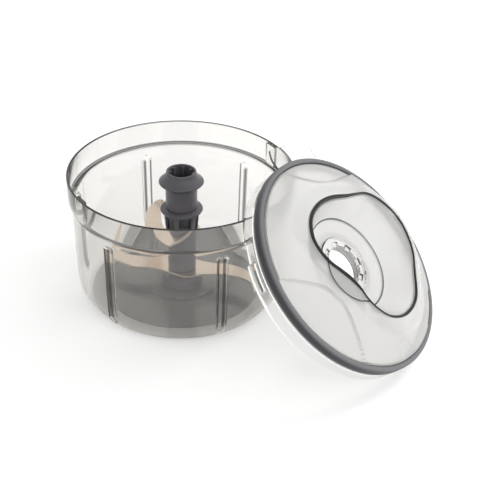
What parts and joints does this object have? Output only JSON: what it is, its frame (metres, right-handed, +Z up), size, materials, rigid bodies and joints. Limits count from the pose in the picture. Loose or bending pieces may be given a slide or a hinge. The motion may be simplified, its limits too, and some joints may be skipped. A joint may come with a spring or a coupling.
{
  "type": "plunger food chopper",
  "caption": "Hand food chopper: clear bowl with a splined hub and steel blades standing on its pin, and the clear lid with a grey ring leaning on the rim.",
  "frame": {"origin": "centre of the underside of the non-slip base, on the bowl's axis, where the chopper stands", "axes": "+Z up the bowl's axis, +X from the bowl towards the leaning lid"},
  "size_m": [0.3037, 0.1792, 0.1382],
  "materials": {
    "clear_bowl": "clear, smoke-tinted, glossy",
    "clear_lid": "clear, lightly tinted, glossy",
    "grey_hub": "satin dark grey",
    "grey_rubber": "matte dark grey",
    "blade_steel": "ground and polished",
    "pin_steel": "turned",
    "bearing_plastic": "natural white"
  },
  "bodies": {
    "bowl": {"bowl_shell": "clear_bowl", "non_slip_base": "grey_rubber", "centre_pin": "pin_steel"},
    "pivot": {"pivot_bush": "bearing_plastic", "thrust_pad": "pin_steel"},
    "blade_unit": {"hub_core": "grey_hub", "hub_foot": "grey_hub", "lower_blade": "blade_steel", "hub_shaft": "grey_hub", "upper_blade": "blade_steel", "hub_collar": "grey_hub", "drive_socket": "grey_hub", "hub_screw": "pin_steel", "screw_washer": "pin_steel"},
    "lid": {"lid_shell": "clear_lid", "seal_ring": "grey_rubber", "lid_skirt": "clear_lid", "coupling_seal": "grey_rubber", "coupling_retainer": "clear_lid"},
    "coupling": {"drive_coupling": "clear_lid"}
  },
  "joints": [
    {"name": "blade_lift", "type": "slide", "parent": "bowl", "child": "pivot", "axis": [0, 0, 1], "range_m": [0, 0.06]},
    {"name": "blade_spin", "type": "hinge", "parent": "pivot", "child": "blade_unit", "pos_m": [0, 0, 0], "axis": [0, 0, 1], "continuous": true},
    {"name": "lid_lift", "type": "slide", "parent": "bowl", "child": "lid", "axis": [0, 0, 1], "range_m": [0, 0.12]},
    {"name": "coupling_spin", "type": "hinge", "parent": "lid", "child": "coupling", "pos_m": [0.14647, 0, 0.07208], "axis": [0.6778, 0, 0.7353], "continuous": true}
  ]
}
